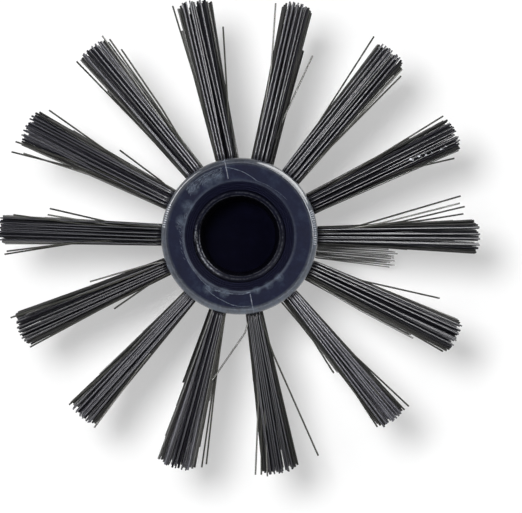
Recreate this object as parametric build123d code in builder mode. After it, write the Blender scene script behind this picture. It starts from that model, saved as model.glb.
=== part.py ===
from build123d import *
import math
import os

# Valve brush head. A moulded round block carries lengthwise columns of bristle tufts all round it.
# Each tuft is a bundle of bristles, folded in half over a flat wire staple and driven into a drilled hole.
# The top end of the block has a blind socket for a screwed handle, with a cone that leads the handle in.
# +Z runs up the block's axis and out of the socket. The origin is the centre of the flat foot.
# Lengths are in millimetres and angles in degrees.

# Handle socket: the clear bore, and the cone that opens it to the mouth
socket_radius = 11.2
socket_depth = 34.0
mouth_cone_width = 1.75
mouth_cone_depth = 3.0

# Block: its wall behind the tuft holes is what is left round the socket
block_length = 120.0
socket_wall = 2.1
foot_bevel = 3.0
mouth_bevel = 1.3

# Tuft holes: drilled square to the block, and drawn with few sides because there are so many
hole_radius = 2.3
hole_depth = 5.4
hole_side_count = 8
row_count = 7
top_row_depth = 10.0
foot_row_height = 14.0

# Staples: flat wire on edge, along the block, so that their ends bite into the web between two rows
staple_height = 2.0
staple_thickness = 0.4
staple_bite = 0.35
staple_clearance = 0.05

# Tufts: the folded root fills its hole, and the bristles fan out from it to the trimmed radius
brush_radius = 60.0
root_clearance = 0.05
root_standout = 0.4
fold_thickness = 0.9
strand_count = 4
strand_side_count = 3
strand_radius = 0.75
strand_embed = 1.0
tuft_spread = 1.7

# How far the tips of each column have set to one side in use, anticlockwise from the column on +X
column_lean_angles = (1.9, 2.0, 0.9, 0.4, 0.6, 1.7, 1.1, 1.2, -0.6, -0.7, 0.3, -1.2, 3.5, 2.7)

# Sizes that follow from those above
block_radius = socket_radius + socket_wall + hole_depth
hole_floor_radius = block_radius - hole_depth
root_floor_radius = hole_floor_radius + root_clearance
hole_turn = 180 / hole_side_count
root_radius = hole_radius - root_clearance
staple_floor_radius = root_floor_radius + fold_thickness
strand_ring_radius = root_radius * math.cos(math.pi / hole_side_count) - strand_radius
top_row_height = block_length - top_row_depth
row_pitch = (top_row_height - foot_row_height) / (row_count - 1)
row_drops = [index * row_pitch for index in range(row_count)]
column_count = len(column_lean_angles)
column_angles = [index * 360 / column_count for index in range(column_count)]


def radial_plane(angle, radius, drop=0):
    """A plane square to the radius, facing out, its x up the block, this far below the top row."""
    outward = Vector(1, 0, 0).rotate(Axis.Z, angle)
    centre = outward * radius + Vector(0, 0, top_row_height - drop)
    return Plane(origin=centre, x_dir=(0, 0, 1), z_dir=outward)


def strand_planes(angle, lean):
    """Where each bristle of the top tuft starts, on a plane that faces along that bristle."""
    start = radial_plane(angle, block_radius + root_standout - strand_embed)
    end = radial_plane(angle + lean, brush_radius)
    planes = []
    for index in range(strand_count):
        turn = math.radians(90 + index * 360 / strand_count)
        spoke = Vector(math.sin(turn), math.cos(turn), 0)
        root = start.from_local_coords(spoke * strand_ring_radius)
        tip = end.from_local_coords(spoke * (strand_ring_radius + tuft_spread))
        planes.append(Plane(origin=root, x_dir=(0, 0, 1), z_dir=tip - root))
    return planes


def make_block():
    """The block: a turned outline with its socket, two bevelled rims, then all the tuft holes."""
    with BuildPart() as block:
        with BuildSketch(Plane.XZ):
            with BuildLine():
                Polyline(
                    (0, 0),
                    (block_radius, 0),
                    (block_radius, block_length),
                    (socket_radius + mouth_cone_width, block_length),
                    (socket_radius, block_length - mouth_cone_depth),
                    (socket_radius, block_length - socket_depth),
                    (0, block_length - socket_depth),
                    close=True,
                )
            make_face()
        revolve(axis=Axis.Z)
        rims = block.edges().filter_by(GeomType.CIRCLE).group_by(SortBy.RADIUS)[-1].sort_by(Axis.Z)
        chamfer(rims[0], length=foot_bevel)
        chamfer(rims[-1], length=mouth_bevel)
        hole_floors = [
            radial_plane(angle, hole_floor_radius, drop)
            for angle in column_angles
            for drop in row_drops
        ]
        with BuildSketch(*hole_floors):
            RegularPolygon(radius=hole_radius, side_count=hole_side_count, rotation=hole_turn)
        extrude(amount=2 * hole_depth, mode=Mode.SUBTRACT)
    return block


def make_tuft(angle, lean):
    """The top tuft of a column: its folded root, its bristles, and the slot that the staple fills."""
    with BuildPart() as tuft:
        with BuildSketch(radial_plane(angle, root_floor_radius)):
            RegularPolygon(radius=root_radius, side_count=hole_side_count, rotation=hole_turn)
        extrude(amount=block_radius + root_standout - root_floor_radius)
        fold_edges = tuft.edges().filter_by(Axis.Z).sort_by_distance((0, 0, top_row_height))[:2]
        chamfer(fold_edges, length=fold_thickness)
        with BuildSketch(*strand_planes(angle, lean)):
            RegularPolygon(radius=strand_radius, side_count=strand_side_count)
        extrude(amount=brush_radius - block_radius - root_standout + strand_embed)
        with BuildSketch(radial_plane(angle, staple_floor_radius - staple_clearance)):
            Rectangle(2 * hole_radius, staple_thickness + 2 * staple_clearance)
        extrude(amount=staple_height + 2 * staple_clearance, mode=Mode.SUBTRACT)
    return tuft


def make_staple(angle):
    """The top staple of a column, as long as its hole is wide and the two bites."""
    with BuildPart() as staple:
        with BuildSketch(radial_plane(angle, staple_floor_radius)):
            Rectangle(2 * (hole_radius + staple_bite), staple_thickness)
        extrude(amount=staple_height)
    return staple


def make_column(piece):
    """The same piece in every row, as separate solids."""
    with BuildPart() as column:
        with Locations(*[(0, 0, -drop) for drop in row_drops]):
            add(piece.part)
    return column


def save(piece, name):
    """Name a finished piece and write its file."""
    piece.part.label = name
    export_step(piece.part, f"parts/{name}.step")


os.makedirs("parts", exist_ok=True)
save(make_block(), "brush_block")
for number, (angle, lean) in enumerate(zip(column_angles, column_lean_angles), start=1):
    save(make_column(make_tuft(angle, lean)), f"tuft_column_{number:02d}")
    save(make_column(make_staple(angle)), f"staple_column_{number:02d}")
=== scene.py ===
# %% [markdown]
# # A round valve brush, seen along its axis
#
# The real object is the head of a cleaning brush. A moulded plastic block holds fourteen columns of
# stiff black bristles, and its top end has a threaded socket for a screwed handle. In this lesson the
# measured CAD model comes first and is never moved: every Blender piece is built around it, in metres,
# exactly where the CAD model says.

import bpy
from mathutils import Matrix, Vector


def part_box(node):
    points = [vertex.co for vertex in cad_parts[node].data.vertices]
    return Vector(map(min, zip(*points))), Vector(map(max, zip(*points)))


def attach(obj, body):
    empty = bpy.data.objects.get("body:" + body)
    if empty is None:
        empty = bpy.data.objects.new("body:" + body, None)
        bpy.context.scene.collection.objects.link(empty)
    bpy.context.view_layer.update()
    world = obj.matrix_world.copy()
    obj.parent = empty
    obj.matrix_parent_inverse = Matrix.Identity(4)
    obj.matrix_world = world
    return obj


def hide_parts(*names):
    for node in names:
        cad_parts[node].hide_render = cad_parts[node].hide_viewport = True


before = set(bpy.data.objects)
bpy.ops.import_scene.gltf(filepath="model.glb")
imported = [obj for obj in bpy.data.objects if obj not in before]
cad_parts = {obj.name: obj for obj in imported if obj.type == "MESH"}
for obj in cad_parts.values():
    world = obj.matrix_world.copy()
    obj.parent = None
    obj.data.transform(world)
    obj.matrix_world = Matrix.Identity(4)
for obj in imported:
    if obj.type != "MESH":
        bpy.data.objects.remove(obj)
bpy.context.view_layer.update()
print("CAD nodes:", len(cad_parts))

# %% [markdown]
# Blender's own modules follow. The random numbers come from one generator with a fixed seed, so the
# brush grows the same bristles every time the lesson is run.

# %% Modules and one seeded generator
import math
import random

import bmesh
import bpy
from mathutils import Matrix, Vector

MM = 0.001
UP = Vector((0, 0, 1))
seed = 14
dice = random.Random(seed)
print("random seed:", seed)

# %% [markdown]
# ## The sizes
#
# Two sizes are read from the CAD block. The corners of its box don't show the rest, so they repeat the
# CAD source's values.

# %% Sizes of the block, the socket and the tuft holes
_, block_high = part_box("brush_block")
block_radius = block_high.x
block_height = block_high.z
socket_radius = 11.2 * MM
socket_depth = 34.0 * MM
mouth_cone_width = 1.75 * MM
mouth_cone_depth = 3.0 * MM
mouth_radius = socket_radius + mouth_cone_width
hole_radius = 2.3 * MM
hole_floor_radius = 13.3 * MM
row_count = 7
column_count = 14
top_row_depth = 10.0 * MM
foot_row_height = 14.0 * MM
top_row_height = block_height - top_row_depth
row_pitch = (top_row_height - foot_row_height) / (row_count - 1)
row_heights = [top_row_height - row * row_pitch for row in range(row_count)]
column_angles = [math.tau * column / column_count for column in range(column_count)]
brush_radius = 60.0 * MM
print(f"block: radius {block_radius / MM:.1f} mm, height {block_height / MM:.1f} mm")

# %% [markdown]
# ## The camera
#
# The photograph was taken from straight above, close enough that the lower rows of tufts look smaller
# and hide behind the top row. So the camera stands on the brush's own axis, and a small lens shift
# moves the brush to its place left of the middle and above it. A roll of two degrees turns the columns
# to where they are in the picture.

# %% Camera straight above the socket
camera_height = 269.5 * MM
camera_roll = math.radians(2.1)
camera_data = bpy.data.cameras.new("camera")
camera_data.lens = 43.64
camera_data.shift_x = 0.0414
camera_data.shift_y = -0.0389
camera = bpy.data.objects.new("camera", camera_data)
camera.location = (0, 0, camera_height)
camera.rotation_euler = (0, 0, camera_roll)
bpy.context.scene.collection.objects.link(camera)
bpy.context.scene.camera = camera
print("camera height above the top face:", round((camera_height - block_height) / MM, 1), "mm")

# %% [markdown]
# ## Helpers for materials
#
# A material here is a small tree of nodes. One helper adds a node, sets its values and joins its
# sockets. Colours are written as the eye sees them on a screen, from 0 to 255, and turned into the
# linear light that the shader works with.

# %% Colours, nodes and new materials
def screen_colour(red, green, blue):
    """Screen values from 0 to 255 as the linear colour of a socket."""
    shares = [value / 255 for value in (red, green, blue)]
    return [share / 12.92 if share < 0.04045 else ((share + 0.055) / 1.055) ** 2.4 for share in shares] + [1]


def grey(value):
    """The same value in all three channels of a linear colour."""
    return (value, value, value, 1)


def add_node(tree, kind, sockets=None, **settings):
    """A new node: settings are its own values, sockets are numbers to set or outputs to join."""
    node = tree.nodes.new(kind)
    for name, value in settings.items():
        setattr(node, name, value)
    for name, value in (sockets or {}).items():
        if isinstance(value, bpy.types.NodeSocket):
            tree.links.new(value, node.inputs[name])
        else:
            node.inputs[name].default_value = value
    return node


def new_material(name):
    """A material with its tree and the shader in it."""
    material = bpy.data.materials.new(name)
    material.use_nodes = True
    tree = material.node_tree
    return material, tree, tree.nodes["Principled BSDF"]


print("middle grey of a screen in linear light:", round(screen_colour(128, 128, 128)[0], 3))

# %% [markdown]
# Most masks here are built from the same few steps: a noise or a distance is measured, a range of it is
# stretched to another range, two or more are joined by a sum, and the result mixes two colours. Each
# step gets a helper with a plain name, so that a mask reads like a sentence.

# %% Steps that masks are made of
def object_coords(tree):
    """The place on the object that the shader is asked about, in metres."""
    return add_node(tree, "ShaderNodeTexCoord").outputs["Object"]


def add_noise(tree, coords, scale, detail, roughness=0.5):
    """A cloudy pattern from 0 to 1."""
    noise = add_node(tree, "ShaderNodeTexNoise", {
        "Vector": coords, "Scale": scale, "Detail": detail, "Roughness": roughness})
    return noise.outputs["Fac"]


def stretch(tree, value, start, end, at_start=0.0, at_end=1.0):
    """A number that runs from at_start to at_end while the value runs from start to end."""
    ranged = add_node(tree, "ShaderNodeMapRange", {
        "Value": value, "From Min": start, "From Max": end, "To Min": at_start, "To Max": at_end})
    return ranged.outputs[0]


def work_out(tree, operation, first, second=0.0):
    """One sum on one or two numbers."""
    return add_node(tree, "ShaderNodeMath", {0: first, 1: second}, operation=operation).outputs[0]


def multiply(tree, first, *others, clamp=False):
    """The product of several numbers, held between 0 and 1 where clamp is set."""
    product = first
    for other in others:
        node = add_node(
            tree, "ShaderNodeMath", {0: product, 1: other}, operation="MULTIPLY", use_clamp=clamp)
        product = node.outputs[0]
    return product


def measure(tree, operation, first, second=(0, 0, 0)):
    """A number measured on one or two vectors, such as a length or a distance."""
    node = add_node(tree, "ShaderNodeVectorMath", {0: first, 1: second}, operation=operation)
    return node.outputs["Value"]


def mix_colours(tree, factor, first, second):
    """The first colour where the factor is 0 and the second where it is 1."""
    node = add_node(
        tree, "ShaderNodeMix", {"Factor": factor, "A": first, "B": second}, data_type="RGBA")
    return node.outputs["Result"]


def add_ramp(tree, factor, stops):
    """A colour ramp with one stop for each (position, screen colour)."""
    ramp = add_node(tree, "ShaderNodeValToRGB", {"Fac": factor})
    elements = ramp.color_ramp.elements
    while len(elements) < len(stops):
        elements.new(1)
    for element, (position, colour) in zip(elements, stops):
        element.position = position
        element.color = screen_colour(*colour)
    return ramp.outputs["Color"]


print("steps for masks: noise, stretch, sums, measures, mixes and ramps")

# %% [markdown]
# Everything on this brush is arranged round its axis, so two more helpers measure a place on it: how
# high it is and how far from the axis, and how far round towards a chosen side.

# %% Measures round the axis
def split_place(tree, coords):
    """The height of a place, its vector straight out from the axis, and that vector's length."""
    parts = add_node(tree, "ShaderNodeSeparateXYZ", {0: coords})
    outwards = add_node(tree, "ShaderNodeCombineXYZ", {
        "X": parts.outputs["X"], "Y": parts.outputs["Y"]}).outputs[0]
    return parts.outputs["Z"], outwards, measure(tree, "LENGTH", outwards)


def towards(tree, outwards, side, radius):
    """1 at this radius on this side of the axis, and -1 on the other side."""
    return measure(tree, "DOT_PRODUCT", outwards, (side[0] / radius, side[1] / radius, 0))


def around(radius, degrees, height):
    """The point at this radius and this many degrees round the axis, anticlockwise from +X."""
    turn = math.radians(degrees)
    return Vector((radius * math.cos(turn), radius * math.sin(turn), height))


print("a quarter turn round the rim:", [round(value / MM, 1) for value in around(block_radius, 90, 0)])

# %% [markdown]
# ## Floor and light
#
# The background is white because the floor is: part of what the camera sees of it is a plain white
# that no shadow touches, and the rest is a matt floor that keeps the soft shadow of the brush. The
# plain part grows with the distance from the brush, from the first of two distances to the second. More
# light would make the floor white too, but it would bleach the brush.

# %% White floor
floor_size = 8.0
white_from = 0.1
white_to = 0.4
floor_material, floor_tree, floor_shader = new_material("studio_floor")
floor_shader.inputs["Base Color"].default_value = grey(0.56)
floor_shader.inputs["Roughness"].default_value = 1.0
floor_shader.inputs["Specular IOR Level"].default_value = 0.0
floor_distance = measure(floor_tree, "LENGTH", object_coords(floor_tree))
floor_white = stretch(floor_tree, floor_distance, white_from, white_to, at_start=0.38, at_end=1.0)
floor_paper = add_node(floor_tree, "ShaderNodeEmission", {"Color": grey(1), "Strength": floor_white})
floor_path = add_node(floor_tree, "ShaderNodeLightPath")
floor_seen = work_out(
    floor_tree, "MAXIMUM", floor_path.outputs["Is Camera Ray"], floor_path.outputs["Is Glossy Ray"])
floor_glow = add_node(floor_tree, "ShaderNodeMixShader", {"Fac": floor_seen, 2: floor_paper.outputs[0]})
floor_sum = add_node(floor_tree, "ShaderNodeAddShader", {
    0: floor_shader.outputs[0], 1: floor_glow.outputs[0]})
floor_tree.links.new(floor_sum.outputs[0], floor_tree.nodes["Material Output"].inputs["Surface"])

floor_mesh = bpy.data.meshes.new("studio_floor")
floor_bm = bmesh.new()
bmesh.ops.create_grid(floor_bm, x_segments=1, y_segments=1, size=floor_size / 2)
floor_bm.to_mesh(floor_mesh)
floor_bm.free()
floor_mesh.materials.append(floor_material)
floor = bpy.data.objects.new("studio_floor", floor_mesh)
bpy.context.scene.collection.objects.link(floor)
print("floor:", floor_size, "m wide")

# %% [markdown]
# The light is a pale studio all round, brighter near the horizon than overhead, dimmer at the back, and
# a little darker straight up, where a camera would stand in its way. What the camera sees of it is
# plain white.

# %% Pale studio all round
studio = bpy.data.worlds.new("studio")
studio.use_nodes = True
bpy.context.scene.world = studio
studio_tree = studio.node_tree
studio_shader = studio_tree.nodes["Background"]
studio_direction = add_node(studio_tree, "ShaderNodeTexCoord").outputs["Generated"]
studio_parts = add_node(studio_tree, "ShaderNodeSeparateXYZ", {0: studio_direction})
horizon_level = stretch(studio_tree, studio_parts.outputs["Z"], 0.2, 0.5, at_start=0.9, at_end=0.34)
overhead_shade = stretch(studio_tree, studio_parts.outputs["Z"], 0.906, 0.99, at_start=0.0, at_end=-0.18)
back_level = stretch(studio_tree, studio_parts.outputs["Y"], 0.2, 0.9, at_start=1.0, at_end=0.5)
side_level = multiply(studio_tree, horizon_level, back_level)
studio_level = work_out(studio_tree, "ADD", side_level, overhead_shade)
studio_path = add_node(studio_tree, "ShaderNodeLightPath")
studio_seen = add_node(studio_tree, "ShaderNodeMix", {
    "Factor": studio_path.outputs["Is Camera Ray"], "A": studio_level, "B": 1.0}, data_type="FLOAT")
studio_tree.links.new(studio_seen.outputs[0], studio_shader.inputs["Strength"])
studio_shader.inputs["Color"].default_value = grey(1)
print("studio nodes:", len(studio_tree.nodes))

# %% [markdown]
# One small soft lamp stands beside the camera and throws the shadow to the lower right. Its strength
# doesn't fade with distance, as if it were much further away.

# %% Small soft lamp beside the camera
lamp_share = 0.94
lamp_offset = Vector((-16.6 * MM, 14.0 * MM, 0))
lamp_data = bpy.data.lights.new("soft_lamp", "AREA")
lamp_data.shape = "DISK"
lamp_data.size = 25.0 * MM
lamp_data.energy = lamp_share * math.pi ** 2
lamp_data.use_nodes = True
lamp_tree = lamp_data.node_tree
lamp_falloff = add_node(lamp_tree, "ShaderNodeLightFalloff", {"Strength": 1.0})
lamp_tree.links.new(lamp_falloff.outputs["Constant"], lamp_tree.nodes["Emission"].inputs["Strength"])
lamp = bpy.data.objects.new("soft_lamp", lamp_data)
lamp.location = Matrix.Rotation(camera_roll, 3, "Z") @ lamp_offset + camera.location
lamp.visible_camera = False
lamp.visible_glossy = False
bpy.context.scene.collection.objects.link(lamp)
print("lamp beside the camera:", [round(value / MM, 1) for value in lamp_offset])

# %% [markdown]
# Four more discs of light are there for the gloss alone, and give no light to matt surfaces, so that the
# soft lamp keeps the only shadow. The one overhead draws a thin bright line along the top of every
# polished bristle. The other three show on the rim of the block and on the thread in its mouth. Each has
# the direction it stands in, how far it reaches sideways and up and down, all as angles, and its
# brightness.

# %% Lamps that only glint
glint_distance = 1.0
glint_lamps = (
    ("over_glint", 0, 90, 24, 24, 1.9),
    ("high_glint", 34, 70, 13, 6, 8.0),
    ("corner_glint", 53, 24, 23, 32, 2.8),
    ("left_glint", 150, 27, 24, 9, 3.6),
)
for name, turn, rise, half_across, half_up, brightness in glint_lamps:
    turn, rise = math.radians(turn), math.radians(rise)
    toward = Vector((math.cos(turn) * math.cos(rise), math.sin(turn) * math.cos(rise), math.sin(rise)))
    half_width = glint_distance * math.tan(math.radians(half_across))
    half_height = glint_distance * math.tan(math.radians(half_up))
    glint_data = bpy.data.lights.new(name, "AREA")
    glint_data.shape = "ELLIPSE"
    glint_data.size = 2 * half_width
    glint_data.size_y = 2 * half_height
    glint_data.energy = brightness * (2 * math.pi) ** 2 * half_width * half_height
    glint = bpy.data.objects.new(name, glint_data)
    glint.location = UP * block_height + toward * glint_distance
    glint.rotation_euler = toward.to_track_quat("Z", "Y").to_euler()
    glint.visible_camera = False
    glint.visible_diffuse = False
    bpy.context.scene.collection.objects.link(glint)
bpy.context.scene.view_settings.view_transform = "Standard"
print("lamps that only glint:", len(glint_lamps))

# %% [markdown]
# ## Moulded plastic
#
# The block is dark navy plastic that years of use have dulled. Up close its finish has two
# scales: a cloudy haze a few millimetres wide, and a fine grain. Each is a noise texture on Object
# coordinates, so that the pattern sits still on the block. The haze moves both the colour and the
# roughness, and the grain is a faint bump.

# %% Dull navy plastic
def navy_plastic(name, dark, middle, light, roughness, specular):
    """Navy plastic with haze in three tones, from dark to light, and a fine grain."""
    material, tree, shader = new_material(name)
    coords = object_coords(tree)
    haze = add_noise(tree, coords, scale=260.0, detail=6.0, roughness=0.66)
    grain = add_noise(tree, coords, scale=2600.0, detail=2.0)
    colour = add_ramp(tree, haze, [(0.32, dark), (0.52, middle), (0.74, light)])
    dullness = stretch(tree, haze, 0.3, 0.7, at_start=roughness - 0.05, at_end=roughness + 0.07)
    bump = add_node(tree, "ShaderNodeBump", {"Height": grain, "Strength": 0.25, "Distance": 0.05 * MM})
    tree.links.new(colour, shader.inputs["Base Color"])
    tree.links.new(dullness, shader.inputs["Roughness"])
    tree.links.new(bump.outputs[0], shader.inputs["Normal"])
    shader.inputs["Specular IOR Level"].default_value = specular
    return material, tree, shader, coords, haze, colour


block_plastic, block_tree, block_shader, block_coords, block_haze, block_colour = navy_plastic(
    "moulded_navy_plastic", (11, 13, 27), (16, 19, 35), (34, 40, 55), roughness=0.52, specular=0.04)
print("block plastic nodes:", len(block_tree.nodes))

# %% [markdown]
# The rounded rim has rubbed against sinks and shelves until its skin turned pale and took a polish, so
# it gets a thin clear coat as well. Its pale colour is that wear together with a painted highlight and
# painted reflection on the rounding. Masks made of the distance from the axis and the height pick it
# out, the haze breaks its edge, and it is painted paler on one side, where the painted highlight is
# strongest.

# %% Wear and painted highlight on the rim
# painted highlight: the rim is painted paler towards this side
rim_highlight_side = (0.45, -0.9)
block_up, block_outwards, from_axis = split_place(block_tree, block_coords)
haze_break = stretch(block_tree, block_haze, 0.3, 0.6, at_start=0.55, at_end=1.0)
rim_reach = stretch(block_tree, from_axis, block_radius - 2.0 * MM, block_radius - 0.8 * MM)
rim_height = stretch(block_tree, block_up, block_height - 2.2 * MM, block_height - 1.2 * MM)
rim_towards = towards(block_tree, block_outwards, rim_highlight_side, block_radius)
rim_side = stretch(block_tree, rim_towards, -1.0, 1.0, at_start=0.3, at_end=1.0)
# pale rim colour: wear together with a painted highlight and reflection
rim_wear_and_highlight_mask = multiply(block_tree, rim_reach, rim_height, haze_break, rim_side)
rim_gloss = stretch(block_tree, from_axis, block_radius - 1.4 * MM, block_radius - 1.0 * MM)
block_tree.links.new(rim_gloss, block_shader.inputs["Coat Weight"])
block_shader.inputs["Coat Roughness"].default_value = 0.1
print("with the rim's wear:", len(block_tree.nodes), "nodes")

# %% [markdown]
# The edge of the socket's mouth is worn in the same way, and carries a painted highlight along its
# edge as well, stronger on one side than on the other. The cone inside the mouth is painted darker:
# painted shade on the steep cone down into the socket.

# %% Wear, painted highlight and painted shade at the mouth
# painted highlight: the mouth's edge is painted paler towards this side
mouth_highlight_side = (-0.5, -0.87)
mouth_step = stretch(block_tree, from_axis, socket_radius + 1.62 * MM, socket_radius + 1.9 * MM)
mouth_edge = stretch(
    block_tree, from_axis, mouth_radius + 0.25 * MM, mouth_radius + 0.8 * MM, at_start=1.0, at_end=0.0)
mouth_towards = towards(block_tree, block_outwards, mouth_highlight_side, mouth_radius)
mouth_side = stretch(block_tree, mouth_towards, -0.6, 0.8, at_start=0.35, at_end=1.1)
mouth_wear_and_highlight_mask = multiply(block_tree, mouth_step, mouth_edge, haze_break, mouth_side, clamp=True)
# painted shade: the cone inside the mouth is painted darker than the top face
shaded_cone_colour = mix_colours(block_tree, mouth_step, screen_colour(14, 15, 31), block_colour)
# painted highlight, with some wear: a pale line along the mouth's edge
highlighted_edge_colour = mix_colours(block_tree, mouth_wear_and_highlight_mask, shaded_cone_colour, screen_colour(66, 71, 82))
worn_and_painted_light_colour = mix_colours(block_tree, rim_wear_and_highlight_mask, highlighted_edge_colour, screen_colour(90, 93, 98))
print("with the mouth's wear:", len(block_tree.nodes), "nodes")

# %% [markdown]
# Handling has rubbed the top face pale in spots, which run together into patches. Each spot has its
# radius in millimetres, its degrees round the axis and its reach. A finer noise breaks the patches up
# and mottles the whole skin.

# %% Rubbed spots on the top face
rubbed_spots = (
    (14.9, 112, 1.2), (15.2, 122, 1.3), (15.8, 136, 1.2), (14.1, 152, 1.2), (14.1, 167, 1.1),
    (14.4, 242, 1.1), (13.8, 257, 1.0), (13.3, 290, 0.8), (13.35, 303, 0.9), (13.4, 316, 0.9))
spot_core_share = 0.3
spot_edge_share = 1.5
rubbed_share = rim_wear_and_highlight_mask
for radius, degrees, reach in rubbed_spots:
    spot = around(radius * MM, degrees, block_height)
    spot_distance = measure(block_tree, "DISTANCE", block_coords, spot)
    spot_share = stretch(
        block_tree, spot_distance, spot_core_share * reach * MM, spot_edge_share * reach * MM,
        at_start=0.8, at_end=0.0)
    rubbed_share = work_out(block_tree, "MAXIMUM", rubbed_share, spot_share)
rubbed_grain = add_noise(block_tree, block_coords, scale=1100.0, detail=4.0, roughness=0.7)
rubbed_break = stretch(block_tree, rubbed_grain, 0.4, 0.65, at_start=0.35, at_end=1.0)
rubbed_mask = multiply(block_tree, rubbed_share, rubbed_break)
rubbed_colour = mix_colours(block_tree, rubbed_mask, worn_and_painted_light_colour, screen_colour(76, 85, 98))
mottle = stretch(block_tree, rubbed_grain, 0.3, 0.7, at_start=0.8, at_end=1.2)
mottled_colour = add_node(
    block_tree, "ShaderNodeVectorMath", {0: rubbed_colour, "Scale": mottle}, operation="SCALE")
block_tree.links.new(mottled_colour.outputs["Vector"], block_shader.inputs["Base Color"])
print("rubbed spots:", len(rubbed_spots))

# %% [markdown]
# Down in the socket its wall and floor get a dull, nearly black version of the same plastic: painted
# shade for the depth of the socket. The thread has a glossier one of its own.

# %% Dull plastic with painted shade in the socket
# painted shade: nearly black tones for the socket's wall and floor
shaded_bore_plastic, *_ = navy_plastic(
    "shaded_socket_plastic", (5, 5, 14), (7, 7, 18), (11, 11, 26), roughness=0.85, specular=0.02)
thread_plastic, thread_tree, thread_shader, thread_coords, _, thread_colour = navy_plastic(
    "thread_plastic", (5, 6, 17), (8, 9, 23), (18, 20, 35), roughness=0.5, specular=0.06)
print("socket plastics:", shaded_bore_plastic.name, thread_plastic.name)

# %% [markdown]
# Two pale lines are painted on the thread's first turn, one along its crest and one along the knee of
# its flank: painted highlights where these edges catch the light, strongest on one side. The handle has
# polished the thread in specks, and their coat is strongest on the same side. Below, the thread fades to
# black, painted shade deeper in the socket.

# %% Painted highlights, polish and painted shade on the thread
thread_height = 1.25 * MM
# painted highlight: the pale lines are strongest towards this side
thread_highlight_side = (-0.89, -0.45)
thread_up, thread_outwards, thread_radius = split_place(thread_tree, thread_coords)
thread_light = stretch(thread_tree, thread_up, block_height - 10.6 * MM, block_height - 9.0 * MM)
crest_line = stretch(
    thread_tree, thread_radius, socket_radius - thread_height, socket_radius - 1.0 * MM,
    at_start=0.7, at_end=0.0)
knee_offset = work_out(thread_tree, "SUBTRACT", thread_radius, socket_radius - 0.5 * MM)
knee_distance = work_out(thread_tree, "ABSOLUTE", knee_offset)
knee_line = stretch(thread_tree, knee_distance, 0.05 * MM, 0.25 * MM, at_start=0.4, at_end=0.0)
line_pair = work_out(thread_tree, "MAXIMUM", crest_line, knee_line)
line_noise = add_noise(thread_tree, thread_coords, scale=1600.0, detail=3.0)
line_break = stretch(thread_tree, line_noise, 0.42, 0.58, at_start=0.15, at_end=1.15)
thread_towards = towards(thread_tree, thread_outwards, thread_highlight_side, socket_radius)
thread_side = stretch(thread_tree, thread_towards, 0.72, 0.86, at_start=0.18, at_end=1.5)
painted_highlight_mask = multiply(thread_tree, line_pair, line_break, thread_side, clamp=True)
# painted highlight: pale lines along the crest and the knee
highlighted_thread_colour = mix_colours(thread_tree, painted_highlight_mask, thread_colour, screen_colour(186, 190, 200))
# painted shade: the thread darkens to black deeper in the socket
depth_shaded_colour = mix_colours(thread_tree, thread_light, screen_colour(4, 4, 10), highlighted_thread_colour)
thread_tree.links.new(depth_shaded_colour, thread_shader.inputs["Base Color"])
speck_noise = add_noise(thread_tree, thread_coords, scale=1300.0, detail=2.0)
speck_polish = stretch(thread_tree, speck_noise, 0.45, 0.6, at_start=0.0, at_end=0.7)
thread_gloss = multiply(thread_tree, speck_polish, thread_side, thread_light)
thread_tree.links.new(thread_gloss, thread_shader.inputs["Coat Weight"])
thread_shader.inputs["Coat Roughness"].default_value = 0.2
print("thread plastic nodes:", len(thread_tree.nodes))

# %% [markdown]
# ## A helper that turns a bmesh into a finished piece
#
# Every piece ends the same way: its mesh is written, gets its material and smooth shading with creases
# at sharp edges, and rides on the CAD body. A crease stays where two faces meet at more than so many
# degrees.

# %% Finish a piece
moulded_crease = 32


def finish_piece(name, bm, material, replaced=(), crease=moulded_crease):
    """A bmesh as an object that rides on the CAD body and takes the place of these CAD nodes."""
    mesh = bpy.data.meshes.new(name)
    bm.to_mesh(mesh)
    bm.free()
    mesh.materials.append(material)
    mesh.shade_smooth()
    mesh.set_sharp_from_angle(angle=math.radians(crease))
    piece = bpy.data.objects.new(name, mesh)
    bpy.context.scene.collection.objects.link(piece)
    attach(piece, "root")
    if replaced:
        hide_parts(*replaced)
    return piece


print("creases on moulded pieces from", moulded_crease, "degrees")

# %% [markdown]
# ## The block
#
# A turned or moulded round body is one outline spun round its axis. The outline is drawn from the
# middle of the foot, up the outside, over the rim, down the mouth's cone and into the socket. Its
# corners are rounded by a vertex bevel before it is spun. A cylinder with insets and bevels would give
# the same shape, but here one list of points holds it all. A fine groove runs round the top face, and
# fine steps on the cone are the marks that the moulding tool left there.

# %% Outline of the block
spin_steps = 160
round_segments = 8
foot_round = 3.0 * MM
rim_round = 1.4 * MM
mouth_round = 0.2 * MM
cone_foot_round = 0.2 * MM
socket_floor_round = 1.0 * MM
groove_width = 0.12 * MM
groove_depth = 0.05 * MM
cone_step_count = 4
cone_step_width = 0.1 * MM
socket_floor_height = block_height - socket_depth
cone_low = block_height - mouth_cone_depth

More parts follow.
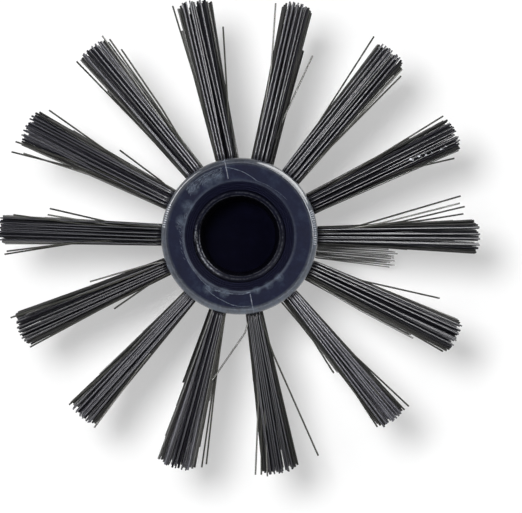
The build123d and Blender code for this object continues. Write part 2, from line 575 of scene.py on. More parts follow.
cone_points = []
for step in range(cone_step_count, 0, -1):
    share = (step - 0.5) / cone_step_count
    radius = socket_radius + share * mouth_cone_width
    height = cone_low + share * mouth_cone_depth
    cone_points += [(radius + cone_step_width / 2, height), (radius - cone_step_width / 2, height)]
groove_radius = block_radius - rim_round - 2 * groove_width
outline = [
    (0, 0, 0),
    (block_radius, 0, foot_round),
    (block_radius, block_height, rim_round),
    (groove_radius + groove_width, block_height, 0),
    (groove_radius + groove_width / 2, block_height - groove_depth, 0),
    (groove_radius, block_height, 0),
    (mouth_radius, block_height, mouth_round),
    *[(radius, height, 0) for radius, height in cone_points],
    (socket_radius, cone_low, cone_foot_round),
    (socket_radius, socket_floor_height, socket_floor_round),
    (0, socket_floor_height, 0),
]
block_bm = bmesh.new()
corners = [block_bm.verts.new((radius, 0, height)) for radius, height, _ in outline]
for start, end in zip(corners, corners[1:]):
    block_bm.edges.new((start, end))
for corner, (_, _, rounding) in zip(corners, outline):
    if rounding:
        bmesh.ops.bevel(
            block_bm, geom=[corner], offset=rounding, offset_type="OFFSET", segments=round_segments,
            profile=0.5, affect="VERTICES", material=-1)
print("outline points after rounding:", len(block_bm.verts))

# %% [markdown]
# The spin closes on itself after a full turn. The outline starts and ends on the axis, so the copies of
# those two points fall together, and they are welded into the two poles. Then every face is turned
# outwards.

# %% Spin the outline
weld_distance = 0.001 * MM
bmesh.ops.spin(
    block_bm, geom=block_bm.verts[:] + block_bm.edges[:], cent=(0, 0, 0), axis=UP,
    angle=math.tau, steps=spin_steps, use_merge=True)
bmesh.ops.remove_doubles(block_bm, verts=block_bm.verts, dist=weld_distance)
bmesh.ops.recalc_face_normals(block_bm, faces=block_bm.faces)
print("block faces before drilling:", len(block_bm.faces))

# %% [markdown]
# The tuft holes are drilled square to the axis, seven in each column. Ninety-eight drills are made as
# one mesh, each from the floor of its hole to well outside the block.

# %% Drills for the tuft holes
drill_sides = 24
drill_bm = bmesh.new()
drill_length = 2 * (block_radius - hole_floor_radius)
for angle in column_angles:
    for height in row_heights:
        outward = Vector((math.cos(angle), math.sin(angle), 0))
        middle = outward * (hole_floor_radius + drill_length / 2) + UP * height
        turned_out = outward.to_track_quat("Z", "X").to_matrix().to_4x4()
        bmesh.ops.create_cone(
            drill_bm, cap_ends=True, segments=drill_sides, radius1=hole_radius, radius2=hole_radius,
            depth=drill_length, matrix=Matrix.Translation(middle) @ turned_out)
drill_mesh = bpy.data.meshes.new("drills")
drill_bm.to_mesh(drill_mesh)
drill_bm.free()
drills = bpy.data.objects.new("drills", drill_mesh)
bpy.context.scene.collection.objects.link(drills)
print("drills:", column_count * row_count)

# %% [markdown]
# A Boolean modifier takes the drills away from the block, because round holes don't line up with the
# faces of a spun body. Its result is kept as the block's mesh, and the drills are thrown away. The faces
# inside the socket get the dull plastic with its painted shade.

# %% Drill the block
wall_bite = 0.1 * MM
blank_mesh = bpy.data.meshes.new("blank")
block_bm.to_mesh(blank_mesh)
block_bm.free()
blank = bpy.data.objects.new("blank", blank_mesh)
bpy.context.scene.collection.objects.link(blank)
drilling = blank.modifiers.new("drilling", "BOOLEAN")
drilling.operation = "DIFFERENCE"
drilling.solver = "EXACT"
drilling.object = drills
drilled_mesh = bpy.data.meshes.new_from_object(blank.evaluated_get(bpy.context.evaluated_depsgraph_get()))
drilled_bm = bmesh.new()
drilled_bm.from_mesh(drilled_mesh)
for leftover in (blank, drills):
    bpy.data.objects.remove(leftover)
for face in drilled_bm.faces:
    middle = face.calc_center_median()
    if middle.xy.length < socket_radius + wall_bite and middle.z < cone_low:
        face.material_index = 1
print("block faces after drilling:", len(drilled_bm.faces))
block = finish_piece("moulded_block", drilled_bm, block_plastic, ["brush_block"])
block.data.materials.append(shaded_bore_plastic)

# %% [markdown]
# ## The thread
#
# Inside the socket a coarse right-hand thread takes the handle's screw. Its ridge is one small section,
# spun while it sinks by the same amount at every step. A Screw modifier does the same to an outline, but
# the spin leaves a plain mesh whose ends can be shaped next.

# %% Thread ridge in the socket
thread_pitch = 4.5 * MM
thread_foot = 1.5 * MM
thread_crest = 0.35 * MM
thread_top = block_height - 3.4 * MM
thread_turns = 5.5
thread_start = math.radians(205)
thread_fade = 0.12
least_rise = 0.05
steps_per_turn = 60
crest_round = 0.3 * MM
knee_radius = socket_radius - 0.55 * MM
knee_height = 0.85 * MM
wall_radius = socket_radius + wall_bite
crest_radius = socket_radius - thread_height
thread_bm = bmesh.new()
section = [thread_bm.verts.new((radius, 0, height)) for radius, height in (
    (wall_radius, -thread_foot), (crest_radius, -thread_crest), (crest_radius, thread_crest),
    (knee_radius, knee_height), (wall_radius, thread_foot))]
thread_bm.faces.new(section)
bmesh.ops.bevel(
    thread_bm, geom=section[1:3], offset=crest_round, offset_type="OFFSET", segments=3,
    profile=0.5, affect="VERTICES", material=-1)
first_middle = thread_top - thread_foot
bmesh.ops.translate(thread_bm, verts=thread_bm.verts, vec=UP * first_middle)
bmesh.ops.rotate(
    thread_bm, verts=thread_bm.verts, cent=(0, 0, 0), matrix=Matrix.Rotation(thread_start, 3, "Z"))
bmesh.ops.spin(
    thread_bm, geom=thread_bm.verts[:] + thread_bm.edges[:] + thread_bm.faces[:], cent=(0, 0, 0), axis=UP,
    dvec=-UP * thread_pitch / steps_per_turn, angle=-math.tau * thread_turns,
    steps=round(thread_turns * steps_per_turn))
bmesh.ops.holes_fill(thread_bm, edges=[edge for edge in thread_bm.edges if edge.is_boundary])
print("thread faces:", len(thread_bm.faces))

# %% [markdown]
# A moulded thread doesn't end in a blunt step. The last part of each end is pressed back into the wall,
# further and further, so that the screw finds its way in. How many turns a vertex has come follows from
# its direction, and its height tells the turns apart.

# %% Press both ends of the thread into the wall
for vert in thread_bm.verts:
    part_turn = ((thread_start - math.atan2(vert.co.y, vert.co.x)) / math.tau) % 1
    turns_down = (first_middle - vert.co.z) / thread_pitch
    turn = part_turn + round(turns_down - part_turn)
    rise = min(1, turn / thread_fade, (thread_turns - turn) / thread_fade)
    radius = vert.co.xy.length
    wanted = wall_radius - (wall_radius - radius) * max(rise, least_rise)
    vert.co.x *= wanted / radius
    vert.co.y *= wanted / radius
bmesh.ops.recalc_face_normals(thread_bm, faces=thread_bm.faces)
heights = [vert.co.z / MM for vert in thread_bm.verts]
print(f"thread: from {min(heights):.1f} to {max(heights):.1f} mm")
finish_piece("socket_thread", thread_bm, thread_plastic)

# %% [markdown]
# ## Bars laid along a path
#
# Bristles, the flash of the mould's parting line and the scratches on the top face are all thin bars
# that follow a line. Curves with a bevel would do, but there are thousands, and every piece has to be a
# mesh in the end. So one straight bar is made as a pattern, cut into rings, and a copy of it is laid
# along each path: every ring moves to its point and turns across the path.

# %% Pattern bar, and how a copy of it is laid
def pattern_bar(ring_count, sides):
    """A bar of unit radius with its rings at x = 0, 1, 2 and so on, one for each point of a path."""
    bm = bmesh.new()
    bmesh.ops.create_cone(
        bm, cap_ends=True, segments=sides, radius1=1, radius2=1,
        depth=ring_count - 1, matrix=Matrix.Rotation(math.pi / 2, 4, "Y"))
    bmesh.ops.translate(bm, verts=bm.verts, vec=((ring_count - 1) / 2, 0, 0))
    lengthwise = [edge for edge in bm.edges if abs(edge.verts[0].co.x - edge.verts[1].co.x) > 0.5]
    bmesh.ops.subdivide_edges(bm, edges=lengthwise, cuts=ring_count - 2, use_grid_fill=True)
    mesh = bpy.data.meshes.new("pattern_bar")
    bm.to_mesh(mesh)
    bm.free()
    return mesh


def lay_bar(bm, bar, points, half_width, half_height, up=UP):
    """Adds one copy of the bar, bent along the points, and gives back its vertices."""
    first = len(bm.verts)
    bm.from_mesh(bar)
    bm.verts.ensure_lookup_table()
    rings = []
    for index, point in enumerate(points):
        along = (points[min(index + 1, len(points) - 1)] - points[max(index - 1, 0)]).normalized()
        side = along.cross(up).normalized()
        rings.append((point, side, side.cross(along)))
    laid = bm.verts[first:]
    for vert in laid:
        point, side, top = rings[round(vert.co.x)]
        vert.co = point + side * vert.co.y * half_width + top * vert.co.z * half_height
    return laid


print("a bar with 5 rings and 4 sides has", len(pattern_bar(5, 4).polygons), "faces")

# %% [markdown]
# ## Flash and scratches on the block
#
# The block carries fine marks: flash from its mould, scratches from handling, and ticks on its rim. All
# are pale, because broken or scratched plastic scatters light. A bump map could draw them, but close up
# it looks painted on, so they are real ridges, a few hundredths of a millimetre high.

# %% Pale scratched plastic
def pale_plastic(name, dark, light):
    """Plastic whose scratched skin scatters light, in tones from dark to light."""
    material, tree, shader = new_material(name)
    noise = add_noise(tree, object_coords(tree), scale=1500.0, detail=3.0)
    tree.links.new(add_ramp(tree, noise, [(0.35, dark), (0.6, light)]), shader.inputs["Base Color"])
    shader.inputs["Roughness"].default_value = 0.6
    shader.inputs["Specular IOR Level"].default_value = 0.2
    return material


flash_plastic = pale_plastic("pale_flash_plastic", (60, 65, 77), (116, 121, 132))
scratched_plastic = pale_plastic("scratched_plastic", (40, 45, 58), (88, 96, 108))
tick_plastic = pale_plastic("pale_tick_plastic", (128, 133, 142), (172, 176, 182))
print("pale plastics:", flash_plastic.name, scratched_plastic.name, tick_plastic.name)

# %% [markdown]
# The two halves of the mould met on the line of two columns. They left a thin ridge of flash there,
# across the top face, over the rim and down the sides between the holes. Each stretch is one bar that
# lies half in the block, with its own up turned sideways so that it keeps to the line.

# %% Flash along the parting line
thin_sides = 4
flash_half_width = 0.11 * MM
flash_proud = 0.05 * MM
flash_turns = (103.1, 282.7)
flash_rings = 8
flash_start_radius = mouth_radius + 0.9 * MM
hole_reach = hole_radius + 0.2 * MM
rim_middle = block_radius - rim_round
rim_steps = flash_rings - 3
flash_bm = bmesh.new()
flash_bar = pattern_bar(flash_rings, thin_sides)
for turn in flash_turns:
    over_rim = [around(radius, turn, block_height) for radius in (flash_start_radius, rim_middle)]
    for step in range(1, rim_steps + 1):
        lean = math.radians(90 * step / rim_steps)
        over_rim.append(around(
            rim_middle + rim_round * math.sin(lean), turn, block_height - rim_round * (1 - math.cos(lean))))
    over_rim.append(around(block_radius, turn, row_heights[0] + hole_reach))
    sideways = UP.cross(around(1, turn, 0))
    lay_bar(flash_bm, flash_bar, over_rim, flash_proud, flash_half_width, up=sideways)
    for upper, lower in zip(row_heights, row_heights[1:] + [foot_round - hole_radius]):
        top, bottom = upper - hole_reach, lower + hole_reach
        run_heights = [top + (bottom - top) * step / (flash_rings - 1) for step in range(flash_rings)]
        run = [around(block_radius, turn, height) for height in run_heights]
        lay_bar(flash_bm, flash_bar, run, flash_proud, flash_half_width, up=sideways)
bmesh.ops.recalc_face_normals(flash_bm, faces=flash_bm.faces)
print("flash faces:", len(flash_bm.faces))
finish_piece("parting_flash", flash_bm, flash_plastic)

# %% [markdown]
# Handling has scratched the top face: a few long arcs that follow the handle's flange, and patches of
# short strokes. Each long scratch has its half width in millimetres and its stops, each a radius in
# millimetres and degrees round the axis. Each patch has its count of strokes, the radii and the degrees
# that it covers, and the slant of its strokes to the arc that they lie on.

# %% Scratches on the top face
scratch_rings = 9
scratch_height = 0.03 * MM
long_scratches = (
    (0.06, ((16.67, 103.8), (15.39, 90.6), (13.7, 74.9))),
    (0.03, ((13.7, 74.9), (13.75, 57.3), (14.14, 39.2))),
    (0.06, ((16.6, 106.4), (16.76, 121.0), (16.65, 141.2))),
    (0.05, ((16.3, 110.7), (16.2, 121.8), (16.4, 131.5))),
    (0.06, ((14.6, 238.4), (15.41, 251.2), (15.76, 258.8), (16.28, 265.2), (16.64, 272.7), (16.71, 280.8))),
    (0.07, ((14.0, 247.8), (13.74, 262.9), (13.73, 276.7), (13.5, 283.1))),
    (0.06, ((13.5, 197.3), (13.47, 221.1), (14.0, 241.7))),
    (0.1, ((18.0, 100.6), (18.1, 105.4))),
    (0.1, ((13.5, 279.0), (13.45, 284.0))),
)
stroke_patches = (
    (150, (15.1, 16.8), (107, 142), 28),
    (26, (13.4, 14.9), (168, 178), 60),
    (22, (13.5, 14.3), (240, 262), 10),
    (26, (13.3, 14.2), (150, 205), 15),
)
slant_spread = 12
stroke_half_lengths = (0.15, 0.55)
stroke_half_widths = (0.02, 0.045)
scratch_bm = bmesh.new()
scratch_bar = pattern_bar(scratch_rings, thin_sides)
stroke_bar = pattern_bar(3, thin_sides)


def along_stops(stops, share):
    """The radius and degrees this far along a row of (radius, degrees) stops."""
    place = share * (len(stops) - 1)
    index = min(int(place), len(stops) - 2)
    pairs = zip(stops[index], stops[index + 1])
    return [before + (after - before) * (place - index) for before, after in pairs]


for half_width, stops in long_scratches:
    spots = [along_stops(stops, ring / (scratch_rings - 1)) for ring in range(scratch_rings)]
    line = [around(radius * MM, degrees, block_height) for radius, degrees in spots]
    lay_bar(scratch_bm, scratch_bar, line, half_width * MM, scratch_height)
for count, radii, degrees, slant in stroke_patches:
    for _ in range(count):
        middle = around(dice.uniform(*radii) * MM, dice.uniform(*degrees), block_height)
        along_arc = math.atan2(middle.y, middle.x) + math.pi / 2
        heading = along_arc + math.radians(dice.gauss(slant, slant_spread))
        half_length = dice.uniform(*stroke_half_lengths) * MM
        half_stroke = Vector((math.cos(heading), math.sin(heading), 0)) * half_length
        stroke = [middle - half_stroke, middle, middle + half_stroke]
        lay_bar(scratch_bm, stroke_bar, stroke, dice.uniform(*stroke_half_widths) * MM, scratch_height)
bmesh.ops.recalc_face_normals(scratch_bm, faces=scratch_bm.faces)
print("scratch faces:", len(scratch_bm.faces))
finish_piece("top_scratches", scratch_bm, scratched_plastic)

# %% [markdown]
# Two runs of fine ticks stand across the rim, where a coarse cloth or a file has caught it. Each run has
# its first degrees round the axis and its number of ticks.

# %% Ticks across the rim
tick_runs = ((-4, 16), (158, 11))
tick_bm = bmesh.new()
tick_radii = (17.65 * MM, 17.95 * MM, 18.25 * MM)
tick_half_width = 0.12 * MM
tick_height = 0.06 * MM
tick_step = 1.7
for first_degrees, tick_count in tick_runs:
    for tick in range(tick_count):
        degrees = first_degrees + tick * tick_step
        across_rim = []
        for radius in tick_radii:
            drop = rim_round - math.sqrt(rim_round ** 2 - (radius - rim_middle) ** 2)
            across_rim.append(around(radius, degrees, block_height - drop))
        lay_bar(tick_bm, stroke_bar, across_rim, tick_half_width, tick_height)
bmesh.ops.recalc_face_normals(tick_bm, faces=tick_bm.faces)
print("tick faces:", len(tick_bm.faces))
finish_piece("rim_ticks", tick_bm, tick_plastic)

# %% [markdown]
# ## Bristles
#
# A tuft is a bundle of bristles folded in half over a staple. Each bristle is one bar laid along a
# path: in along one side of the hole, round under the staple, and out along the other side. Blender's
# hair would grow faster, but it has no real root or fold, and these bristles are thick enough to model.
# Six sides look round enough at their size.

# %% Bar for a folded bristle
bristle_radius = 0.27 * MM
bristle_sides = 6
leg_rings = 5
fold_rings = 5
folded_bar = pattern_bar(2 * leg_rings + fold_rings, bristle_sides)
print("folded bristle faces:", len(folded_bar.polygons))

# %% [markdown]
# Where the legs stand in the hole follows from how round bars pack: in rows, each row a little aside
# from the last. Only one half of the hole is filled here, because each bristle's other leg stands in
# the other half.

# %% Places of the legs in one half of the hole
leg_pitch = 0.6 * MM
hole_clearance = 0.05 * MM
staple_gap = 0.12 * MM
packing_radius = hole_radius - hole_clearance - bristle_radius
rows_each_way = 4
most_in_row = 5
leg_places = []
for row in range(-rows_each_way, rows_each_way + 1):
    height = row * leg_pitch * math.sqrt(3) / 2
    for place in range(most_in_row):
        aside = (place + (0.5 if row % 2 else 0.25)) * leg_pitch + staple_gap
        if math.hypot(aside, height) <= packing_radius:
            leg_places.append((aside / packing_radius, height / packing_radius))
print("bristles in a tuft:", len(leg_places), "with", 2 * len(leg_places), "tips")

# %% [markdown]
# In use the tufts have taken a set. The lengths here are in millimetres, one for each column: how far
# its top tuft stands aside, anticlockwise seen from above, near the block and at its tips, and how far
# the tuft reaches to either side of its middle in the same two places. The rows below hide behind the
# top one, apart from a few that stand further aside, named by their column and row.

# %% How the columns lean and spread
root_asides = (1.0, 0.5, 0.0, -0.45, -0.55, -0.25, 0.0, 0.4, -0.35, 0.3, -0.3, 0.0, 1.8, 1.4)
tip_asides = (2.05, 1.95, 0.8, 0.6, 0.3, 1.7, 0.45, 0.45, -0.5, -0.75, -0.5, -0.75, 3.75, 2.9)
root_half_widths = (3.1, 3.5, 3.45, 3.45, 3.65, 3.25, 3.6, 3.4, 3.0, 2.6, 2.6, 2.9, 2.6, 2.95)
tip_half_widths = (4.5, 4.4, 4.3, 3.9, 4.7, 4.4, 5.0, 3.75, 4.65, 4.3, 5.2, 4.8, 3.9, 4.5)
tip_half_height = 2.5 * MM
side_rows = {(3, 2): -1.2, (10, 5): -1.1, (12, 4): -0.9, (13, 2): -1.4}
row_spread = 0.2
row_asides = {
    (column, row): side_rows.get((column, row), dice.gauss(0, row_spread) if row else 0.0) * MM
    for column in range(column_count) for row in range(row_count)}
print("widest fan:", 2 * max(tip_half_widths), "mm, narrowest:", 2 * min(tip_half_widths), "mm")

# %% [markdown]
# A leg passes five places on its way out: the mouth of its hole, a place just outside the wall, one
# where the tuft has settled into its lean, the middle of the bristle and the tip. Each place beyond the
# mouth has its share of the lean and its share of the bristle's bow. The lean and the width are given at
# two radii, at the fit ring and at the tips, and run straight between them.

# %% Path of one leg
mouth_ring = block_radius - 0.3 * MM
near_ring = 19.4 * MM
settled_ring = 21.0 * MM
fit_ring = 24.0 * MM
middle_ring = 38.0 * MM
ring_shares = (
    (near_ring, 0.92, 0.0), (settled_ring, 0.96, 0.05), (middle_ring, 1.0, 1.0), (brush_radius, 1.0, 0.0))


def on_brush(column_angle, radius, aside, height):
    """A point at this radius along the column's direction, this far aside, at this height."""
    outward = Vector((math.cos(column_angle), math.sin(column_angle), 0))
    return outward * radius + UP.cross(outward) * aside + UP * height


def leg_points(column, row, across, up, filled, noise, bow, short):
    """One leg from the staple's side out to the tip, which stands at its own place across the fan."""
    angle, height = column_angles[column], row_heights[row]
    half_width = tip_half_widths[column] * MM - bristle_radius
    root_half = root_half_widths[column] * MM - bristle_radius
    points = [on_brush(angle, mouth_ring, across * packing_radius, height + up * packing_radius)]
    for radius, set_share, bow_share in ring_shares:
        share = (radius - fit_ring) / (brush_radius - fit_ring)
        middle = (root_asides[column] + (tip_asides[column] - root_asides[column]) * share) * MM
        middle = (middle + row_asides[column, row]) * set_share
        half = root_half + (half_width - root_half) * share
        rise = root_half + (tip_half_height - root_half) * share
        aside = middle + (across + (filled - across) * share) * half + noise[0] * share + bow[0] * bow_share
        if radius == brush_radius:
            radius = math.sqrt(brush_radius ** 2 - aside ** 2) - short
        points.append(on_brush(
            angle, radius, aside, height + up * rise + noise[1] * share + bow[1] * bow_share))
    return points


print("legs leave their holes", round(mouth_ring / MM, 1), "mm from the axis")

# %% [markdown]
# Under the staple the fold is a half round of five points. Bristles that stand further out in the hole
# fold deeper, round the ones inside them.

# %% Path of the fold
staple_floor = hole_floor_radius + 0.95 * MM
staple_half = 0.25 * MM
fold_start = staple_floor + 0.5 * MM
deepest_fold = 0.38 * MM
knee_share = 0.72


def fold_points(column, row, across, up):
    """The folded end: down one side of the staple, round under it and up the other side."""
    angle, height = column_angles[column], row_heights[row] + up * packing_radius
    aside = max(across * packing_radius, staple_half + bristle_radius)
    bottom = staple_floor - bristle_radius - deepest_fold * aside / packing_radius
    knee = (staple_floor + bottom) / 2
    return [
        on_brush(angle, fold_start, aside, height),
        on_brush(angle, knee, aside * knee_share, height),
        on_brush(angle, bottom, 0, height),
        on_brush(angle, knee, -aside * knee_share, height),
        on_brush(angle, fold_start, -aside, height),
    ]


print("folds start", round(fold_start / MM, 1), "mm from the axis")

# %% [markdown]
# The bristles are black nylon. One bar differs a little from the next, so the shade that each bar
# carries picks its tone on a ramp; the ramp's light end is partly a painted highlight, and its dark end
# partly painted shade between bristles. Bars at the outside of a tuft get a paler grey, partly dust and
# partly painted light on the lit sides of a tuft, and the others keep the bluish black of new nylon. There
# are two finishes: light bars are polished and catch the lamps in a thin line along their top, and dark
# bars are dull and catch next to nothing.

# %% Polished and dull black nylon
def black_nylon(name, specular, smoothest, roughest):
    """Nylon that reads its tone from the bars' shade and edge, with a gloss between two roughnesses."""
    material, tree, shader = new_material(name)
    shade = add_node(tree, "ShaderNodeAttribute", attribute_name="shade").outputs["Fac"]
    edge = add_node(tree, "ShaderNodeAttribute", attribute_name="edge").outputs["Fac"]
    # light end: partly painted highlight; dark end: partly painted shade between bristles
    new_colour = add_ramp(tree, shade, [
        (0.0, (10, 10, 14)), (0.35, (21, 21, 27)), (0.7, (43, 43, 50)), (1.0, (88, 88, 95))])
    # paler grey at a tuft's outside: dust together with painted light
    dusty_and_lit_colour = add_ramp(tree, shade, [
        (0.0, (38, 38, 36)), (0.35, (66, 66, 62)), (0.7, (108, 108, 103)), (1.0, (160, 161, 156))])
    tree.links.new(mix_colours(tree, edge, new_colour, dusty_and_lit_colour), shader.inputs["Base Color"])
    dust = add_noise(tree, object_coords(tree), scale=90.0, detail=2.0)
    dullness = stretch(tree, dust, 0.35, 0.65, at_start=smoothest, at_end=roughest)
    tree.links.new(dullness, shader.inputs["Roughness"])
    shader.inputs["Specular IOR Level"].default_value = specular
    return material


polished_nylon = black_nylon("polished_black_nylon", specular=0.5, smoothest=0.18, roughest=0.24)
dull_nylon = black_nylon("dull_black_nylon", specular=0.06, smoothest=0.3, roughest=0.4)
dull_below = 0.36
print("nylons:", polished_nylon.name, dull_nylon.name)

# %% [markdown]
# Some bristles have strayed from their tuft. Each one here has its column and row, then a point that it
# passes and its tip, each as a radius in millimetres and degrees from the column's own direction. Under
# the first column a whole bundle of a lower row has swung aside, painted pale as painted light against
# the shadow of the tuft above, and its bristles are dealt out round one middle line, fanned by so many
# degrees where they pass and at their tips.

# %% Loose bristles
loose_bristles = [
    (0, 0, 27.3, 6.0, 55.3, 12.4), (0, 0, 35.6, 7.4, 55.0, 10.6), (0, 0, 40.7, 7.3, 56.4, 9.6),
    (0, 0, 46.5, 7.1, 55.9, 7.8), (1, 0, 42.2, 6.4, 58.8, 6.9), (1, 0, 43.8, -1.6, 56.2, -3.7),
    (2, 0, 31.7, 5.5, 59.9, 6.7), (2, 0, 35.1, -4.9, 56.1, -4.6), (2, 0, 36.9, -4.6, 57.5, -3.6),
    (3, 0, 42.5, 4.2, 58.2, 6.1), (3, 0, 31.4, -5.6, 48.7, -7.1), (4, 0, 38.3, 5.0, 59.0, 5.4),
    (4, 0, 35.9, -5.8, 52.1, -6.3), (5, 0, 33.1, 5.6, 59.5, 6.5), (5, 0, 38.2, -2.7, 59.6, -2.1),
    (5, 0, 37.6, -4.1, 58.3, -3.1), (5, 0, 36.9, -5.2, 54.1, -4.2), (6, 0, 35.7, -4.7, 56.6, -5.7),
    (6, 0, 39.4, 2.8, 59.9, 4.9), (6, 0, 41.2, 4.6, 59.7, 7.5), (6, 0, 39.5, 5.4, 57.7, 6.8),
    (6, 0, 24.0, -7.4, 36.7, -7.9), (7, 0, 32.8, -4.1, 47.5, -6.2), (7, 0, 32.7, -2.8, 48.0, -4.3),
    (7, 0, 37.7, -2.2, 56.3, -3.3), (7, 0, 40.2, 4.3, 57.7, 5.8), (7, 0, 41.5, 4.6, 58.5, 6.5),
    (8, 0, 24.6, -6.3, 38.8, -6.7), (8, 0, 24.8, 4.4, 35.6, 6.5), (8, 0, 37.7, -3.1, 59.6, -4.0),
    (8, 0, 37.5, 4.1, 58.0, 4.3), (9, 0, 38.1, -2.9, 59.5, -4.6), (9, 0, 40.6, 3.4, 59.4, 3.5),
    (10, 0, 39.5, 4.0, 55.6, 4.0), (10, 0, 39.1, 5.2, 58.5, 5.7), (10, 0, 39.0, 5.8, 56.8, 6.7),
    (11, 0, 24.0, -7.4, 35.9, -21.4), (11, 0, 41.6, -4.2, 59.3, -6.9), (11, 0, 41.7, -3.2, 59.7, -5.5),
    (11, 0, 41.9, -2.2, 59.8, -4.1), (11, 0, 30.7, 5.3, 57.3, 9.0), (12, 0, 38.3, 7.3, 59.6, 8.4),
    (12, 0, 39.1, 6.0, 59.8, 7.1), (12, 0, 31.7, -1.2, 41.1, -1.9), (12, 0, 42.2, 0.5, 58.4, -0.6),
    (12, 0, 41.9, 4.3, 59.6, 5.2), (13, 0, 30.6, 7.4, 51.9, 10.6), (13, 0, 35.7, -3.7, 50.2, -2.6),
    (13, 0, 40.7, -1.5, 57.8, -1.7),
]
print("strayed bristles:", len(loose_bristles))

# %% Swung bundle under the first column
swung_row = 5
swung_count = 18
swung_pass = (30.3, -9.6)
swung_tip = (59.4, -6.2)
swung_fans = (8, 6.5)
swung_spread = 0.4
swung_short = 2.0
for place in range(swung_count):
    fan = place / (swung_count - 1) - 0.5
    pass_degrees = swung_pass[1] + fan * swung_fans[0] + dice.gauss(0, swung_spread)
    tip_radius = swung_tip[0] - abs(dice.gauss(0, swung_short))
    tip_degrees = swung_tip[1] + fan * swung_fans[1] + dice.gauss(0, swung_spread)
    loose_bristles.append((0, swung_row, swung_pass[0], pass_degrees, tip_radius, tip_degrees))
print("with the swung bundle:", len(loose_bristles))

# %% [markdown]
# A loose bristle starts deep in its hole on the side that it strays to, and bends gently until it is in
# line with the point that it passes and its tip. The bend lies part of the way to that point, pulled
# part of the way towards the line. How high the bristle lies in its hole, and how far it rises to the
# point and to its tip, are drawn at random.

# %% Path of a loose bristle
loose_bar = pattern_bar(6, bristle_sides)
loose_radius = 0.21 * MM
deep_ring = mouth_ring - 2.0 * MM
root_drop = 0.4 * MM
root_rises = (0.6, 2.0)
pass_rises = (0, 1.2)
tip_rises = (0.3, 2.8)
deep_side_share = 0.5
mouth_side_share = 0.7
line_reach = 0.25
bend_along = 0.45
bend_to_line = 0.35


def loose_points(column, row, pass_radius, pass_degrees, tip_radius, tip_degrees):
    """From the hole past a point to the tip."""
    angle, height = column_angles[column], row_heights[row] + dice.uniform(*root_rises) * MM
    turned = math.degrees(angle)
    passing = around(pass_radius * MM, turned + pass_degrees, height + dice.uniform(*pass_rises) * MM)
    tip = around(tip_radius * MM, turned + tip_degrees, height + dice.uniform(*tip_rises) * MM)
    side = packing_radius if pass_degrees > 0 else -packing_radius
    deep = on_brush(angle, deep_ring, deep_side_share * side, height - root_drop)
    mouth = on_brush(angle, mouth_ring, mouth_side_share * side, height)
    in_line = passing + (passing - tip) * line_reach
    bend = mouth.lerp(passing, bend_along).lerp(in_line, bend_to_line)
    return [deep, mouth, bend, passing, passing.lerp(tip, 0.5), tip]


print("a loose bristle is", round(2 * loose_radius / MM, 2), "mm thick")

# %% [markdown]
# A few polished bristles lie on the back of each top tuft, clear of the others from the hole to the tip,
# and shine as unbroken lines. Each has its place across the fan, from 1 at the anticlockwise side to -1
# at the other, and keeps it all the way out. Every column has its own shade for them, a light one that
# is partly a painted highlight along the bristle. The back of a tuft is round, so they lie lower at its
# sides.

# %% Bristles on the back of each top tuft
back_places = (
    (0.5, 0.15, -0.1, -0.45), (0.35, 0.1, -0.25, -0.45), (0.75, 0.55, 0.3, 0.1, -0.25, -0.5),
    (0.6, 0.35, 0.05, -0.25), (0.6, 0.4, 0.2, -0.35), (0.55, -0.05, -0.3, -0.5),
    (0.5, 0.25, 0.0, -0.4, -0.55), (0.7, 0.4, 0.15, -0.1, -0.45, -0.75), (0.45, 0.25, 0.05, -0.15),
    (0.55, 0.15, -0.05, -0.35, -0.6), (0.5, 0.3, 0.0, -0.45), (0.4, 0.05, -0.1, -0.35, -0.6),
    (0.6, 0.4, 0.2, -0.1), (0.7, 0.45, -0.15, -0.45))
# painted highlight, in part: the light shades of the bristles on the backs
back_shades = (0.65, 0.5, 0.8, 0.8, 0.8, 0.9, 0.7, 0.5, 0.45, 0.8, 0.65, 0.5, 0.95, 0.6)
back_bar = pattern_bar(6, bristle_sides)
back_radius = 0.2 * MM
back_lift = 0.12 * MM
back_short = 0.35 * MM
hole_across_share = 0.6
hole_up_share = 0.75
roundness = 0.85


def back_points(column, across):
    """From deep in the hole, over the backs of the tuft's other bristles, to the tip."""
    angle, height = column_angles[column], row_heights[0]
    points = [
        on_brush(
            angle, radius, across * hole_across_share * packing_radius,
            height + hole_up_share * packing_radius)
        for radius in (deep_ring, mouth_ring)]
    for radius in (near_ring, settled_ring, middle_ring, brush_radius):
        share = (radius - fit_ring) / (brush_radius - fit_ring)
        middle = root_asides[column] * (1 - share) + tip_asides[column] * share
        half = root_half_widths[column] * (1 - share) + tip_half_widths[column] * share
        aside = (middle + across * half) * MM
        back = root_half_widths[column] * MM * (1 - share) + tip_half_height * share
        lift = back * math.sqrt(1 - (roundness * across) ** 2) + back_lift
        if radius == brush_radius:
            radius = math.sqrt(brush_radius ** 2 - aside ** 2) - back_short
        points.append(on_brush(angle, radius, aside, height + lift))
    return points


print("bristles on the backs:", sum(len(places) for places in back_places))

# %% [markdown]
# A brush like this mixes bristles that have been polished in use with dull ones, so a few bars in each
# tuft carry a light shade, some a middle one and the rest a dark one. The light shades are partly a
# painted highlight along the top of a bristle, and the dark ones partly painted shade in the gaps between
# bristles. Each column has its own share of light bars and its own tone, which all its shades are
# multiplied by. The top tufts have fewer light bars, because the ones on their backs make up for it, and
# the bars at the outside of a tuft are the pale ones: dust, and painted light on the tuft's lit sides.

# %% Shades of the bristles
light_shares = (0.14, 0.12, 0.22, 0.1, 0.08, 0.42, 0.34, 0.16, 0.12, 0.6, 0.32, 0.08, 0.7, 0.26)
column_tones = (0.8, 0.82, 0.96, 0.74, 0.76, 1.4, 1.2, 1.08, 0.96, 1.45, 1.12, 0.88, 1.15, 0.82)
top_light_share = 0.55
middle_share = 0.35
